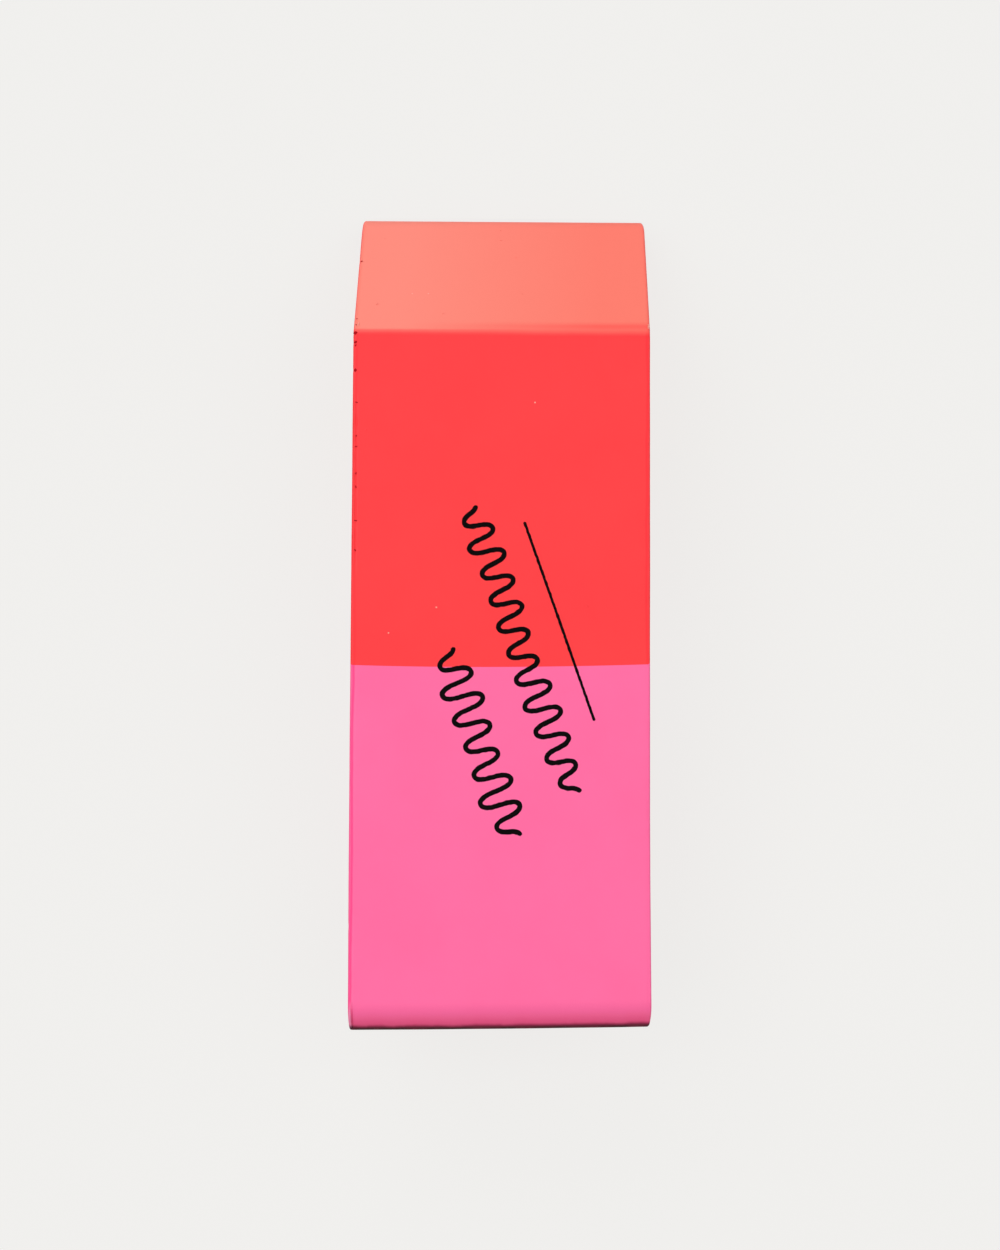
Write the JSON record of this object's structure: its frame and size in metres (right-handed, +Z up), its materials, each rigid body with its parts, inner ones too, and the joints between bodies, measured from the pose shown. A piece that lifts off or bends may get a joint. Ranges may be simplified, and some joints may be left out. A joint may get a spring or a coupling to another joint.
{
  "type": "rubber eraser",
  "caption": "Bevelled block eraser with slanted ends and rounded tips, red rubber at one end and pink rubber at the other.",
  "frame": {"origin": "on the surface it lies on, under the middle of the block", "axes": "+Y along the block towards the red end, +X across it between the cut sides, +Z up"},
  "size_m": [0.022, 0.062, 0.0127],
  "materials": {
    "red_rubber": "matt moulded rubber with knife-cut sides",
    "pink_rubber": "matt moulded rubber with knife-cut sides"
  },
  "bodies": {
    "root": {"red_half": "red_rubber", "pink_half": "pink_rubber"}
  },
  "joints": []
}
